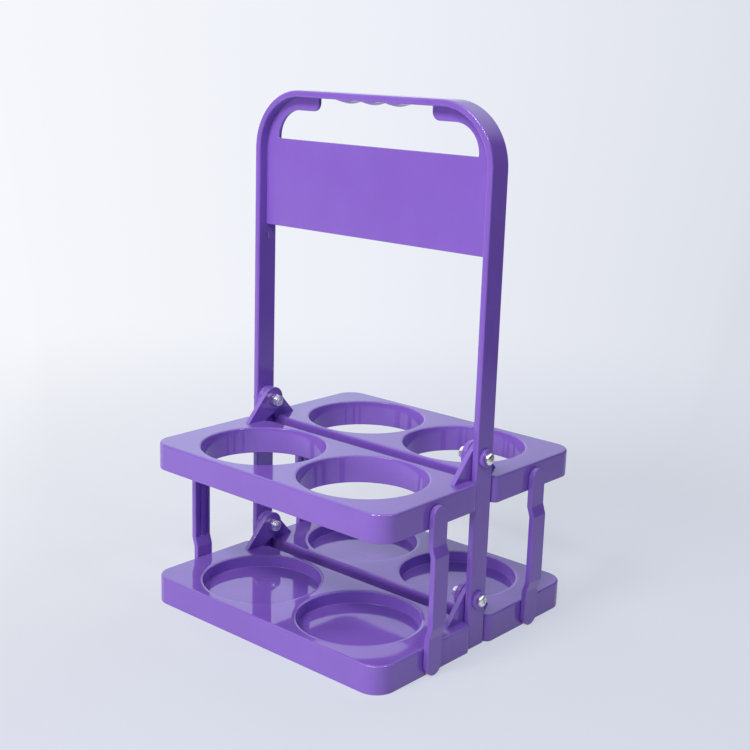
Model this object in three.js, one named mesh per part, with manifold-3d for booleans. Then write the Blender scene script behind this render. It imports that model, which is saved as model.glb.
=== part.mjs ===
// Folding drink carrier for cups, cans and bottles.
// A tall handle frame carries two pairs of hinged leaves: open racks above and cup trays below.
// Bars at the sides link each rack to the tray under it, so that the pair folds up together.
// Millimetres, +Z up. The origin is on the floor under the middle of the handle, and the front is -Y.

import * as THREE from 'three';
import { mergeVertices } from 'three/addons/utils/BufferGeometryUtils.js';
import Module from 'manifold-3d';

// Handle frame: an upside-down U of flat bar with a web plate across its upper part
const handleHeight = 310.5;
const handleWidth = 180.8;
const handleDepth = 15;
const barThickness = 4;
const handleCornerRadius = 36;
const webThickness = 2.4;
const panelBottomHeight = 227.5;
const panelTopHeight = 281;

// Hand hole above the panel: it widens below the two corner webs
const handHoleSideMargin = 10.3;
const handHoleCornerRadius = 16.7;
const panelEdgeRadius = 0.8;
const cornerWebHang = 8;
const cornerWebTipRadius = 5;
const gripLength = 86;

// Finger ridges under the grip
const ridgeCount = 3;
const ridgePitch = 18.3;
const ridgeLength = 16.5;
const ridgeDrop = 2.2;
const ridgeDepth = 9;
const ridgeFacets = 8;

// Hinges: each leaf hangs by two ears from screws through the legs
const trayTopHeight = 17;
const rackSpacing = 85.5;
const hingeRise = 12.2;
const earRadius = 8.1;
const earThickness = 3.4;
const earFootReach = 22;
const hingeGap = 0.3;
const bossRadius = 5.5;
const bossHeight = 2;

// Leaves: a top plate with a skirt round it, seen from above as a rectangle with notches for the legs
const leafReach = 89.3;
const leafProud = 2.6;
const leafGap = 12;
const leafCornerRadius = 12.5;
const notchLength = 10;
const notchClearance = 0.5;
const notchCornerRadius = 4;
const skirtWall = 2.2;
const plateThickness = 2.4;
const rackSkirtHeight = 16.2;

// Cup places: two to a leaf, this far out from the hinge
const cupPitch = 80.2;
const cupReach = 46.4;
const rackHoleRadius = 37.5;
const rackHoleDraft = 0.8;
const sleeveWall = 2;
const trayCupRadius = 36.5;
const trayCupDepth = 7.5;
const trayCupDraft = 0.4;
const trayCupWall = 2.6;
const trayFloor = 2;

// Link bars, joined to the leaves by split snap pegs
const linkWidth = 12.4;
const linkThickness = 3.5;
const linkEndReach = 6.9;
const linkJog = 2;
const linkJogStart = 16;
const linkJogLength = 6;
const linkGap = 0.3;
const linkGrooveWidth = 3.2;
const linkGrooveDepth = 1.2;
const linkRibWidth = 2.2;
const pegReach = 46.2;
const pegDrop = 21.9;
const pegRadius = 2.5;
const pegClearance = 0.3;
const pegHeadOverhang = 0.7;
const pegHeadLength = 2.2;
const pegSlotWidth = 1;

// Hinge fasteners: pan-head screw, lock nut and the nut's plastic insert
const screwRadius = 2;
const screwClearance = 0.25;
const screwTipChamfer = 0.4;
const headRadius = 3.5;
const headHeight = 2.6;
const headEdgeHeight = 1.2;
const headShoulderRadius = 2.9;
const headShoulderHeight = 2.1;
const headCrownRadius = 1.6;
const crossWidth = 0.9;
const crossLength = 3.8;
const crossDepth = 1.5;
const seatGap = 0.1;
const nutAcrossFlats = 7;
const nutHexHeight = 3.4;
const nutCollarHeight = 1.6;
const nutCollarWall = 0.45;
const nutLip = 0.4;
const threadClearance = 0.15;
const insertThickness = 0.6;
const insertClearance = 0.1;

// Facets: the largest sag of a facet from its true arc, and the least facets in a circle
const facetSag = 0.12;
const leastFacets = 12;
const mergeTolerance = 1e-4;
const cutMargin = 1;

const halfHandle = handleWidth / 2;
const legInner = halfHandle - barThickness;
const gripUnderside = handleHeight - barThickness;
const leafSide = halfHandle + leafProud;
const innerEdge = leafGap / 2;
const notchEdge = handleDepth / 2 + notchClearance;
const notchStart = legInner - notchLength;
const trayHinge = trayTopHeight + hingeRise;
const rackHinge = trayHinge + rackSpacing;
const hingeHeights = { lower: trayHinge, upper: rackHinge };
const outerEar = legInner - hingeGap;
const innerEar = outerEar - earThickness - hingeGap;
const nutSeat = innerEar - earThickness - hingeGap;
const nutHeight = nutHexHeight + nutCollarHeight;
const bossFace = halfHandle + bossHeight;
const screwLength = bossFace + seatGap - nutSeat + nutHeight;
const runningRadius = screwRadius + screwClearance;
const insertOuter = screwRadius + insertClearance + insertThickness;
const nutPocket = insertOuter + insertClearance;

const wasm = await Module();
wasm.setup();

// Solids: a closed geometry becomes a manifold for joining and cutting, and turns back for its mesh
function solidOf(geometry) {
  const bare = geometry.clone();
  bare.deleteAttribute('normal');
  bare.deleteAttribute('uv');
  const merged = mergeVertices(bare, mergeTolerance);
  return new wasm.Manifold(new wasm.Mesh({
    numProp: 3,
    vertProperties: new Float32Array(merged.attributes.position.array),
    triVerts: new Uint32Array(merged.index.array),
  }));
}

function geometryOf(solid) {
  const { vertProperties, triVerts } = solid.getMesh();
  const geometry = new THREE.BufferGeometry();
  geometry.setAttribute('position', new THREE.BufferAttribute(vertProperties, 3));
  geometry.setIndex(new THREE.BufferAttribute(triVerts, 1));
  geometry.computeVertexNormals();
  return geometry;
}

function facetsFor(radius) {
  const step = 2 * Math.acos(1 - facetSag / radius);
  return Math.max(leastFacets, Math.ceil(2 * Math.PI / step));
}

// Outlines: corners are [u, v, radius], and a radius is cut down where its two edges are too short for it
function outline(corners) {
  const count = corners.length;
  const points = corners.map(([u, v]) => new THREE.Vector2(u, v));
  const bends = points.map((point, i) => {
    const back = points[(i + count - 1) % count].clone().sub(point).normalize();
    const ahead = points[(i + 1) % count].clone().sub(point).normalize();
    const half = Math.acos(THREE.MathUtils.clamp(back.dot(ahead), -1, 1)) / 2;
    const radius = corners[i][2] ?? 0;
    return { point, back, ahead, half, reach: radius / Math.tan(half) };
  });
  bends.forEach((bend, i) => {
    const next = bends[(i + 1) % count];
    const room = bend.point.distanceTo(next.point);
    const share = Math.min(1, room / (bend.reach + next.reach || 1));
    bend.reach *= share;
    next.reach *= share;
  });
  return new THREE.Shape(bends.flatMap(roundedCorner));
}

function roundedCorner({ point, back, ahead, half, reach }) {
  if (reach < mergeTolerance) {
    return [point];
  }
  const radius = reach * Math.tan(half);
  const centre = back.clone().add(ahead).setLength(radius / Math.sin(half)).add(point);
  const start = back.clone().multiplyScalar(reach).add(point).sub(centre);
  const turn = (Math.PI - 2 * half) * Math.sign(ahead.cross(back));
  const steps = Math.max(2, Math.ceil(facetsFor(radius) * Math.abs(turn) / (2 * Math.PI)));
  const arc = [];
  for (let k = 0; k <= steps; k += 1) {
    arc.push(start.clone().rotateAround(new THREE.Vector2(), turn * k / steps).add(centre));
  }
  return arc;
}

// Prisms along each axis: an outline's u and v lie along the other two axes
const axisX = new THREE.Vector3(1, 0, 0);
const axisY = new THREE.Vector3(0, 1, 0);
const axisZ = new THREE.Vector3(0, 0, 1);
const layAlongX = new THREE.Matrix4().makeBasis(axisY, axisZ, axisX);
const layAlongY = new THREE.Matrix4().makeBasis(axisX, axisZ, axisY.clone().negate());

function extrusion(shape, depth) {
  return new THREE.ExtrudeGeometry(shape, { depth, bevelEnabled: false });
}

function prismX(shape, from, to) {
  return solidOf(extrusion(shape, to - from).applyMatrix4(layAlongX).translate(from, 0, 0));
}

function prismY(shape, from, to) {
  return solidOf(extrusion(shape, to - from).applyMatrix4(layAlongY).translate(0, to, 0));
}

function prismZ(shape, from, to) {
  return solidOf(extrusion(shape, to - from).translate(0, 0, from));
}

function rodX(radius, from, to, y, z, tipRadius = radius) {
  const rod = new THREE.CylinderGeometry(radius, tipRadius, to - from, facetsFor(radius));
  return solidOf(rod.rotateZ(-Math.PI / 2).translate((from + to) / 2, y, z));
}

function rodZ(topRadius, bottomRadius, from, to, x, y) {
  const rod = new THREE.CylinderGeometry(topRadius, bottomRadius, to - from, facetsFor(topRadius));
  return solidOf(rod.rotateX(Math.PI / 2).translate(x, y, (from + to) / 2));
}

function block(width, depth, height, x, y, z) {
  return solidOf(new THREE.BoxGeometry(width, depth, height).translate(x, y, z));
}

function joined(solids) {
  return solids.reduce((whole, solid) => whole.add(solid));
}

function cut(solid, tools) {
  return tools.reduce((whole, tool) => whole.subtract(tool), solid);
}

// Handle frame
function handleRim() {
  const innerRadius = handleCornerRadius - barThickness;
  return prismY(outline([
    [-halfHandle, 0],
    [-halfHandle, handleHeight, handleCornerRadius],
    [halfHandle, handleHeight, handleCornerRadius],
    [halfHandle, 0],
    [legInner, 0],
    [legInner, gripUnderside, innerRadius],
    [-legInner, gripUnderside, innerRadius],
    [-legInner, 0],
  ]), -handleDepth / 2, handleDepth / 2);
}

function handleWeb() {
  const rimMiddle = halfHandle - barThickness / 2;
  const rimTop = handleHeight - barThickness / 2;
  const rimRadius = handleCornerRadius - barThickness / 2;
  const plate = prismY(outline([
    [-rimMiddle, panelBottomHeight],
    [rimMiddle, panelBottomHeight],
    [rimMiddle, rimTop, rimRadius],
    [-rimMiddle, rimTop, rimRadius],
  ]), -webThickness / 2, webThickness / 2);
  const holeSide = legInner - handHoleSideMargin;
  const webBottom = gripUnderside - cornerWebHang;
  const gripEnd = gripLength / 2;
  const handHole = prismY(outline([
    [-holeSide, panelTopHeight, panelEdgeRadius],
    [holeSide, panelTopHeight, panelEdgeRadius],
    [holeSide, webBottom, handHoleCornerRadius],
    [gripEnd, webBottom, cornerWebTipRadius],
    [gripEnd, handleHeight],
    [-gripEnd, handleHeight],
    [-gripEnd, webBottom, cornerWebTipRadius],
    [-holeSide, webBottom, handHoleCornerRadius],
  ]), -webThickness, webThickness);
  return plate.subtract(handHole);
}

function fingerRidge(x) {
  const corners = [[x + ridgeLength / 2, gripUnderside + barThickness / 2]];
  corners.push([x - ridgeLength / 2, gripUnderside + barThickness / 2]);
  for (let k = 0; k <= ridgeFacets; k += 1) {
    const along = k / ridgeFacets - 0.5;
    corners.push([x + along * ridgeLength, gripUnderside - ridgeDrop * Math.cos(Math.PI * along) ** 2]);
  }
  return prismY(outline(corners), -ridgeDepth / 2, ridgeDepth / 2);
}

function handleFrame() {
  const solids = [handleRim(), handleWeb()];
  for (let k = 0; k < ridgeCount; k += 1) {
    solids.push(fingerRidge((k - (ridgeCount - 1) / 2) * ridgePitch));
  }
  const screwHoles = [];
  for (const height of Object.values(hingeHeights)) {
    solids.push(rodX(bossRadius, halfHandle - barThickness / 2, bossFace, 0, height));
    solids.push(rodX(bossRadius, -bossFace, -halfHandle + barThickness / 2, 0, height));
    screwHoles.push(rodX(runningRadius, -bossFace - cutMargin, bossFace + cutMargin, 0, height));
  }
  return geometryOf(cut(joined(solids), screwHoles));
}

// Leaves: the hinge axis is the local X axis, and the leaf reaches out to the front
function leafOutline(inset) {
  const side = leafSide - inset;
  const front = -leafReach + inset;
  const notch = -notchEdge - inset;
  const inner = -innerEdge - inset;
  const step = notchStart - inset;
  const corner = leafCornerRadius - inset;
  const notchCorner = Math.max(notchCornerRadius - inset, 0);
  return outline([
    [-side, front, corner],
    [side, front, corner],
    [side, notch, notchCorner],
    [step, notch],
    [step, inner],
    [-step, inner],
    [-step, notch],
    [-side, notch, notchCorner],
  ]);
}

function tangentAngle(point, radius, side) {
  return Math.atan2(point[1], point[0]) + side * Math.acos(radius / Math.hypot(point[0], point[1]));
}

function hingeEar(from, to) {
  const root = -hingeRise - plateThickness / 2;
  const foot = [-earFootReach, -hingeRise];
  const heel = [-innerEdge, -hingeRise];
  const first = tangentAngle(heel, earRadius, 1);
  const last = tangentAngle(foot, earRadius, -1) + 2 * Math.PI;
  const steps = Math.ceil(facetsFor(earRadius) * (last - first) / (2 * Math.PI));
  const corners = [[-earFootReach, root], [-innerEdge, root], heel];
  for (let k = 0; k <= steps; k += 1) {
    const angle = first + (last - first) * k / steps;
    corners.push([earRadius * Math.cos(angle), earRadius * Math.sin(angle)]);
  }
  corners.push(foot);
  return prismX(outline(corners), from, to);
}

function leaf(skirtHeight, cupSolids, cupBores) {
  const top = -hingeRise;
  const bottom = top - skirtHeight;
  const shell = prismZ(leafOutline(0), bottom, top);
  const hollow = prismZ(leafOutline(skirtWall), bottom - cutMargin, top - plateThickness);
  const ears = [hingeEar(outerEar - earThickness, outerEar), hingeEar(-innerEar, -innerEar + earThickness)];
  const sideHole = pegRadius + pegClearance;
  const sideInside = leafSide - skirtWall - cutMargin;
  const sideOutside = leafSide + cutMargin;
  return geometryOf(cut(joined([shell.subtract(cut(hollow, cupSolids)), ...ears]), [
    ...cupBores,
    rodX(runningRadius, -leafSide, leafSide, 0, 0),
    rodX(sideHole, sideInside, sideOutside, -pegReach, -pegDrop),
    rodX(sideHole, -sideOutside, -sideInside, -pegReach, -pegDrop),
  ]));
}

const cupPlaces = [-cupPitch / 2, cupPitch / 2];

function rackLeaf() {
  const top = -hingeRise;
  const bottom = top - rackSkirtHeight;
  const outer = rackHoleRadius + sleeveWall;
  const low = rackHoleRadius - rackHoleDraft;
  const sleeves = cupPlaces.map((x) => rodZ(outer, outer, bottom - 2 * cutMargin, top, x, -cupReach));
  const draft = rackHoleDraft / rackSkirtHeight * cutMargin;
  const bores = cupPlaces.map((x) => (
    rodZ(rackHoleRadius + draft, low - draft, bottom - cutMargin, top + cutMargin, x, -cupReach)
  ));
  return leaf(rackSkirtHeight, sleeves, bores);
}

function trayLeaf() {
  const top = -hingeRise;
  const seat = top - trayCupDepth;
  const outer = trayCupRadius + trayCupWall;
  const low = trayCupRadius - trayCupDraft;
  const cups = cupPlaces.map((x) => rodZ(outer, outer, seat - trayFloor, top, x, -cupReach));
  const draft = trayCupDraft / trayCupDepth * cutMargin;
  const bores = cupPlaces.map((x) => (
    rodZ(trayCupRadius + draft, low, seat, top + cutMargin, x, -cupReach)
  ));
  return leaf(trayTopHeight, cups, bores);
}

// Link bar: the upper peg's axis is the local X axis, and X counts outwards from the leaf's side
function linkBar() {
  const edge = linkWidth / 2;
  const inside = linkGap;
  const outside = linkGap + linkThickness;
  const bends = [
    [0, -linkEndReach - rackSpacing],
    [0, linkJogStart - rackSpacing],
    [linkJog, linkJogStart + linkJogLength - rackSpacing],
    [linkJog, -linkJogStart - linkJogLength],
    [0, -linkJogStart],
    [0, linkEndReach],
  ];
  const outerFace = bends.map(([x, z]) => [x + outside, z]);
  const innerFace = bends.map(([x, z]) => [x + inside, z]).reverse();
  const strip = prismY(outline([...outerFace, ...innerFace]), -edge, edge);
  const plan = prismX(outline([
    [-edge, -linkEndReach - rackSpacing, edge],
    [edge, -linkEndReach - rackSpacing, edge],
    [edge, linkEndReach, edge],
    [-edge, linkEndReach, edge],
  ]), 0, outside + linkJog + cutMargin);
  const grooveLength = rackSpacing - 2 * (linkJogStart + linkJogLength);
  const grooveFloor = inside + linkJog + linkGrooveDepth;
  const groovePlace = (linkRibWidth + linkGrooveWidth) / 2;
  const grooves = [-groovePlace, groovePlace].map((y) => (
    block(2 * grooveFloor, linkGrooveWidth, grooveLength, 0, y, -rackSpacing / 2)
  ));
  const pegs = [0, -rackSpacing].map(snapPeg);
  return geometryOf(joined([cut(strip.intersect(plan), grooves), ...pegs]));
}

function snapPeg(z) {
  const shoulder = -skirtWall - pegClearance;
  const tip = shoulder - pegHeadLength;
  const shank = rodX(pegRadius, shoulder - pegHeadLength / 4, linkGap + linkThickness / 2, 0, z);
  const head = rodX(pegRadius + pegHeadOverhang, tip, shoulder, 0, z, pegRadius - pegHeadOverhang);
  const slotEnd = tip - cutMargin;
  const slot = block(-slotEnd, pegSlotWidth, 4 * pegRadius, slotEnd / 2, 0, z);
  return shank.add(head).subtract(slot);
}

// Hinge fasteners: X counts outwards from the screw's seat, or inwards from the nut's seat
function pivotScrew() {
  const profile = [
    [0, -screwLength],
    [screwRadius - screwTipChamfer, -screwLength],
    [screwRadius, -screwLength + screwTipChamfer],
    [screwRadius, 0],
    [headRadius, 0],
    [headRadius, headEdgeHeight],
    [headShoulderRadius, headShoulderHeight],
    [headCrownRadius, headHeight],
    [0, headHeight],
  ].map(([radius, x]) => new THREE.Vector2(radius, x));
  const body = solidOf(new THREE.LatheGeometry(profile, facetsFor(headRadius)).rotateZ(-Math.PI / 2));
  return geometryOf(cut(body, [
    block(2 * crossDepth, crossWidth, crossLength, headHeight, 0, 0),
    block(2 * crossDepth, crossLength, crossWidth, headHeight, 0, 0),
  ]));
}

function lockNut() {
  const hexRadius = nutAcrossFlats / Math.sqrt(3);
  const hex = new THREE.CylinderGeometry(hexRadius, hexRadius, nutHexHeight, 6);
  const hexSolid = solidOf(hex.rotateZ(-Math.PI / 2).translate(nutHexHeight / 2, 0, 0));
  const collar = rodX(nutPocket + nutCollarWall, nutHexHeight / 2, nutHeight, 0, 0);
  return geometryOf(cut(hexSolid.add(collar), [
    rodX(screwRadius + threadClearance, -cutMargin, nutHeight + cutMargin, 0, 0),
    rodX(nutPocket, nutHexHeight, nutHeight - nutLip, 0, 0),
  ]));
}

function nutInsert() {
  const from = nutHexHeight + insertClearance;
  const to = nutHeight - nutLip - insertClearance;
  const ring = rodX(insertOuter, from, to, 0, 0);
  const bore = rodX(screwRadius + insertClearance, from - cutMargin, to + cutMargin, 0, 0);
  return geometryOf(ring.subtract(bore));
}

// Scene graph
const carrier = new THREE.Group();

function addMesh(parent, name, geometry, colour, roughness, metalness) {
  const material = new THREE.MeshStandardMaterial({ color: colour, roughness, metalness });
  const mesh = new THREE.Mesh(geometry, material);
  mesh.name = name;
  parent.add(mesh);
  return mesh;
}

const addPlastic = (parent, name, geometry) => addMesh(parent, name, geometry, '#7d5cc4', 0.25, 0);
const addSteel = (parent, name, geometry) => addMesh(parent, name, geometry, '#c9ccd2', 0.25, 1);
const addNylon = (parent, name, geometry) => addMesh(parent, name, geometry, '#e8e8e4', 0.5, 0);

addPlastic(carrier, 'handle_frame', handleFrame());

const rack = rackLeaf();
const tray = trayLeaf();
const link = linkBar();
const sides = { front: 0, rear: Math.PI };

for (const [side, turn] of Object.entries(sides)) {
  const wing = new THREE.Group();
  wing.rotation.z = turn;
  carrier.add(wing);
  addPlastic(wing, `upper_${side}_rack`, rack).position.z = rackHinge;
  addPlastic(wing, `lower_${side}_tray`, tray).position.z = trayHinge;
  const rightward = turn === 0 ? 'right' : 'left';
  const leftward = turn === 0 ? 'left' : 'right';
  const pegHeight = rackHinge - pegDrop;
  addPlastic(wing, `${side}_${rightward}_link`, link).position.set(leafSide, -pegReach, pegHeight);
  const farLink = addPlastic(wing, `${side}_${leftward}_link`, link);
  farLink.position.set(-leafSide, -pegReach, pegHeight);
  farLink.rotation.z = Math.PI;
}

const screw = pivotScrew();
const nut = lockNut();
const insert = nutInsert();

for (const [level, height] of Object.entries(hingeHeights)) {
  for (const [side, turn] of Object.entries({ right: 0, left: Math.PI })) {
    const hinge = new THREE.Group();
    hinge.rotation.z = turn;
    hinge.position.z = height;
    carrier.add(hinge);
    addSteel(hinge, `${level}_${side}_pivot_screw`, screw).position.x = bossFace + seatGap;
    const nutGroup = new THREE.Group();
    nutGroup.position.x = nutSeat;
    nutGroup.rotation.z = Math.PI;
    hinge.add(nutGroup);
    addSteel(nutGroup, `${level}_${side}_lock_nut`, nut);
    addNylon(nutGroup, `${level}_${side}_nut_insert`, insert);
  }
}

export default carrier;
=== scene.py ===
# Folding drink carrier: a moulded handle frame, hinged racks and trays, link bars and fasteners.
# Sizes are in millimetres and meshes in metres. +Z is up, -Y is the front, and the floor is at 0.

import math

import bpy
from mathutils import Matrix, Vector
from mathutils.geometry import delaunay_2d_cdt


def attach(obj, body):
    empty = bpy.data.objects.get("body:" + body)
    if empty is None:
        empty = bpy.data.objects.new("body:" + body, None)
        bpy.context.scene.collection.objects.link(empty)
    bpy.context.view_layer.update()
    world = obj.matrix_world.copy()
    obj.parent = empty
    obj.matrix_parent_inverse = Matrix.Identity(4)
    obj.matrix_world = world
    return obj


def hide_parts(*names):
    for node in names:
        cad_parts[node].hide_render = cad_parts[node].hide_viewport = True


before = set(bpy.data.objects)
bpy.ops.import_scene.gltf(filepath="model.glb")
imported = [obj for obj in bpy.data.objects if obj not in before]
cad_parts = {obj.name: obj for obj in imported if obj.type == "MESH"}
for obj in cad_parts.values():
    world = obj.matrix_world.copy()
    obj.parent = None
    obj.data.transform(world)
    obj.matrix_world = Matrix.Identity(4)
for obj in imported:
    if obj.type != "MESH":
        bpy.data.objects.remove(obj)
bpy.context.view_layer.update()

MM = 0.001

# Handle frame: an upside-down U of flat bar with a web plate across its upper part
HANDLE_HEIGHT = 310.5
HANDLE_WIDTH = 180.8
HANDLE_DEPTH = 15
BAR_THICKNESS = 4
BAR_EDGE = 1.1
HANDLE_CORNER = 36
HANDLE_CORNER_STEPS = 20
WEB_THICKNESS = 2.4
WEB_EDGE = 0.45
PANEL_BOTTOM = 227.5
PANEL_TOP = 281
HAND_HOLE_MARGIN = 10.3
HAND_HOLE_CORNER = 16.7
PANEL_CORNER = 0.8
CORNER_WEB_HANG = 8
CORNER_WEB_TIP = 5
GRIP_LENGTH = 86

# Finger ridges under the grip
RIDGE_COUNT = 3
RIDGE_PITCH = 18.3
RIDGE_LENGTH = 16.5
RIDGE_DROP = 2.2
RIDGE_FALL = 0.6
RIDGE_SINK = 0.05
RIDGE_STEPS = 28

# Gate mark on the inner face of each leg
GATE_MARK_HEIGHT = 220.7
GATE_MARK_WIDTH = 2.4
GATE_MARK_LENGTH = 4.6
GATE_MARK_DEPTH = 0.5

# Hinges: each leaf hangs by two ears from screws through the legs
TRAY_TOP = 17
RACK_SPACING = 85.5
HINGE_RISE = 12.2
EAR_RADIUS = 8.1
EAR_THICKNESS = 3.4
EAR_FOOT = 22
EAR_EDGE = 0.5
HINGE_GAP = 0.3
BOSS_RADIUS = 5.5
BOSS_HEIGHT = 2
BOSS_EDGE = 0.5

# Leaves: a top plate with a skirt round it and notches for the legs
LEAF_REACH = 89.3
LEAF_PROUD = 2.6
LEAF_GAP = 12
LEAF_CORNER = 12.5
LEAF_TOP_EDGE = (1.2, 1.2)
LEAF_BOTTOM_EDGE = (0.5, 0.5)
NOTCH_LENGTH = 10
NOTCH_CLEARANCE = 0.5
NOTCH_CORNER = 4
STEP_CORNER = 1.55
STEP_ROOT = 0.4
SKIRT_WALL = 2.2
PLATE_THICKNESS = 2.4
RACK_SKIRT = 16.2

# Cup places: open holes in the racks and round recesses in the trays
CUP_PITCH = 80.2
CUP_REACH = 46.4
RACK_HOLE_RADIUS = 37.5
RACK_HOLE_DRAFT = 0.8
SLEEVE_WALL = 2
HOLE_RIM_EDGE = (1.3, 0.8)
HOLE_BOTTOM_EDGE = (0.5, 0.5)
TRAY_CUP_RADIUS = 36.5
TRAY_CUP_DEPTH = 7.5
TRAY_CUP_DRAFT = 0.4
TRAY_RIM_EDGE = (2.2, 0.7)
TRAY_CUP_WALL = 2.6
TRAY_FLOOR = 2
SEAT_FILLET = 0.4
PIN_MARK_RADIUS = 3
PIN_MARK_DEPTH = 0.08
PIN_MARK_PLACE = (-8, 10)

# Link bars with a jog near each end and snap pegs
LINK_WIDTH = 12.4
LINK_THICKNESS = 3.5
LINK_EDGE = 0.6
LINK_END = 6.9
LINK_END_STEPS = 12
LINK_JOG = 2
LINK_JOG_START = 16
LINK_JOG_LENGTH = 6
LINK_BEND = 0.7
LINK_BEND_STEPS = 2
LINK_GAP = 0.3
LINK_GROOVE_WIDTH = 3.2
LINK_GROOVE_DEPTH = 1.2
LINK_RIB_WIDTH = 2.2
PEG_REACH = 46.2
PEG_DROP = 21.9
PEG_RADIUS = 2.5
PEG_CLEARANCE = 0.3
PEG_HEAD_OVERHANG = 0.7
PEG_HEAD_LENGTH = 2.2
PEG_SLOT = 1

# Hinge fasteners: pan-head screw, lock nut and the nut's plastic ring
SCREW_RADIUS = 2
SCREW_CLEARANCE = 0.25
SCREW_TIP_CHAMFER = 0.4
HEAD_RADIUS = 3.5
HEAD_HEIGHT = 2.6
HEAD_EDGE_HEIGHT = 1.1
HEAD_FLAT_RADIUS = 1.2
HEAD_UNDERCUT = 0.2
CROSS_WIDTH = 0.9
CROSS_LENGTH = 3.9
CROSS_DEPTH = 1.5
CROSS_TAPER = 0.3
CROSS_TURN = math.radians(25)
SEAT_GAP = 0.1
NUT_SIDES = 6
NUT_FLATS = 7
NUT_HEX_HEIGHT = 3.4
NUT_EDGE = 0.3
NUT_CORNER = 0.65
NUT_COLLAR_HEIGHT = 1.6
NUT_COLLAR_WALL = 0.45
NUT_LIP = 0.4
THREAD_CLEARANCE = 0.15
RING_THICKNESS = 0.6
RING_CLEARANCE = 0.1

# Surface detail that the finishes share: drifting tone, rubbed lines, dust and flow streaks
DRIFT_DETAIL = 3
DRIFT_RANGE = (0.3, 0.7)
LINE_TURNS = ((0.5, 0.9, 0.3), (-0.7, 0.4, 1.3))
LINE_STRETCH = 0.03
LINE_DETAIL = 1
LINE_RANGE = (0.68, 0.76)
RUBBED_PATCHES_PER_METRE = 16
RUBBED_DETAIL = 2
RUBBED_RANGE = (0.4, 0.65)
SPECK_CORE = 0.6
SWELL_DETAIL = 1
STREAK_DETAIL = 2
STREAKS_PER_METRE = (260, 260, 6)
TURNING_PITCH = 0.3
TURNING_DEPTH = 0.002

# Finishes. Each mark has its shader group with its values, and what it does where it lies
PURPLE_PLASTIC = {
    "shader": {"IOR": 1.56},
    "tones": ((0.233, 0.114, 0.525, 1), (0.247, 0.122, 0.555, 1)),
    "roughness": (0.03, 0.07),
    "drift": {"Patches per Metre": 26},
    "swell": {"Swells per Metre": 22, "Swell Height": 0.16, "Streak Height": 0},
    "marks": (
        {"group": "hairlines", "values": {"Lines per Metre": 1500},
         "tint": (0.42, 0.33, 0.68, 1), "share": 0.12, "roughness": 0.16, "height": -0.0015},
        {"group": "dust_specks", "values": {"Cells per Metre": 150, "Share": 0.1, "Radius": 0.035},
         "tint": (0.6, 0.57, 0.68, 1), "share": 0.35, "roughness": 0.4},
    ),
}
STREAKED_PLASTIC = {**PURPLE_PLASTIC, "swell": {**PURPLE_PLASTIC["swell"], "Streak Height": 0.012}}
PLATED_STEEL = {
    "shader": {"Metallic": 1},
    "tones": ((0.86, 0.865, 0.87, 1), (0.95, 0.955, 0.96, 1)),
    "roughness": (0.23, 0.36),
    "drift": {"Patches per Metre": 420},
    "marks": (
        {"group": "hairlines", "values": {"Lines per Metre": 6000},
         "roughness": 0.15, "height": -0.004},
        {"group": "dust_specks", "values": {"Cells per Metre": 900, "Share": 0.12, "Radius": 0.12},
         "tint": (0.4, 0.39, 0.38, 1), "share": 0.6},
    ),
}
WHITE_NYLON = {
    "shader": {},
    "tones": ((0.72, 0.72, 0.68, 1), (0.82, 0.82, 0.79, 1)),
    "roughness": (0.4, 0.6),
    "drift": {"Patches per Metre": 600},
    "swell": {"Swells per Metre": 900, "Swell Height": 0.02, "Streak Height": 0},
    "marks": (),
}

# Fineness of round stretches
ARC_STEP = math.radians(6)
HOLE_STEPS = 120
TURN_STEPS = 48
EDGE_STEPS = 6
LENS_STEPS = 24
LEAST_ARC_STEPS = 3
FLAT_RIM = 0.15
CUT_MARGIN = 1
WELD_DISTANCE = 0.002
FILL_TOLERANCE = 1e-6
SMOOTH_ANGLE = math.radians(32)

# The photograph's viewing angle
CAMERA_AZIMUTH = math.radians(40.93)
CAMERA_ELEVATION = math.radians(14.05)
CAMERA_ROLL = math.radians(1.81)
CAMERA_DISTANCE = 774.07
CAMERA_TARGET = (6.45, 0, 147.03)
CAMERA_LENS = 62.298
CAMERA_RANGE = 100

# Studio tones from the far right of the view, 0, to the far left, 1
SIDE_TONES = (
    (0.0, (0.02, 0.02, 0.03)),
    (0.2, (0.04, 0.05, 0.07)),
    (0.28, (0.5, 0.52, 0.57)),
    (0.36, (0.73, 0.76, 0.83)),
    (0.5, (0.85, 0.87, 0.94)),
    (0.64, (0.92, 0.93, 0.97)),
    (0.72, (1.15, 1.16, 1.2)),
    (1.0, (1.15, 1.16, 1.2)),
)

# Studio tones by direction: where a change starts and ends, then the factor at its start and end
NEAR_DIMMING = (-0.3, 0.6, 0.79, 1)
FRONT_DIMMING = (-0.7, -0.3, 0.1, 1)
GLOW_TO_SHADE = (0.25, 0.5)
RIGHT_TO_GLOW = (-0.12, 0.12)
HORIZON_TO_SKY = (0.06, 0.22)
SKY_TO_CEILING = (0.35, 0.65)
GLOW_TINT = (1.3, 1.41, 1.6, 1)
SHADE_TINT = (0.7, 0.72, 0.76, 1)
RIGHT_TINT = (0.96, 1.01, 1.08, 1)
HORIZON_TINT = (1, 1, 1, 1)
CEILING_TONE = (1.2, 1.25, 1.45, 1)
PALE_TONE = (0.7, 0.73, 0.8)
WHITE_TONE = (0.93, 0.94, 0.98)
FILL_TONE = (0.2, 0.4, 1, 1)
FILL_STRENGTH = 0.15

# Floor, in metres
FLOOR_RADIUS = 20
FLOOR_STEPS = 96
FLOOR_SOFTENING = 0.55
FLOOR_FADE = (0.25, 0.9)
FLOOR_SHADED = (0.25, 0.262, 0.29, 1)
FLOOR_MATT = (0.64, 0.65, 0.7, 1)
NEAR_GLOW = 0.68
FAR_GLOW = 1

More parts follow.
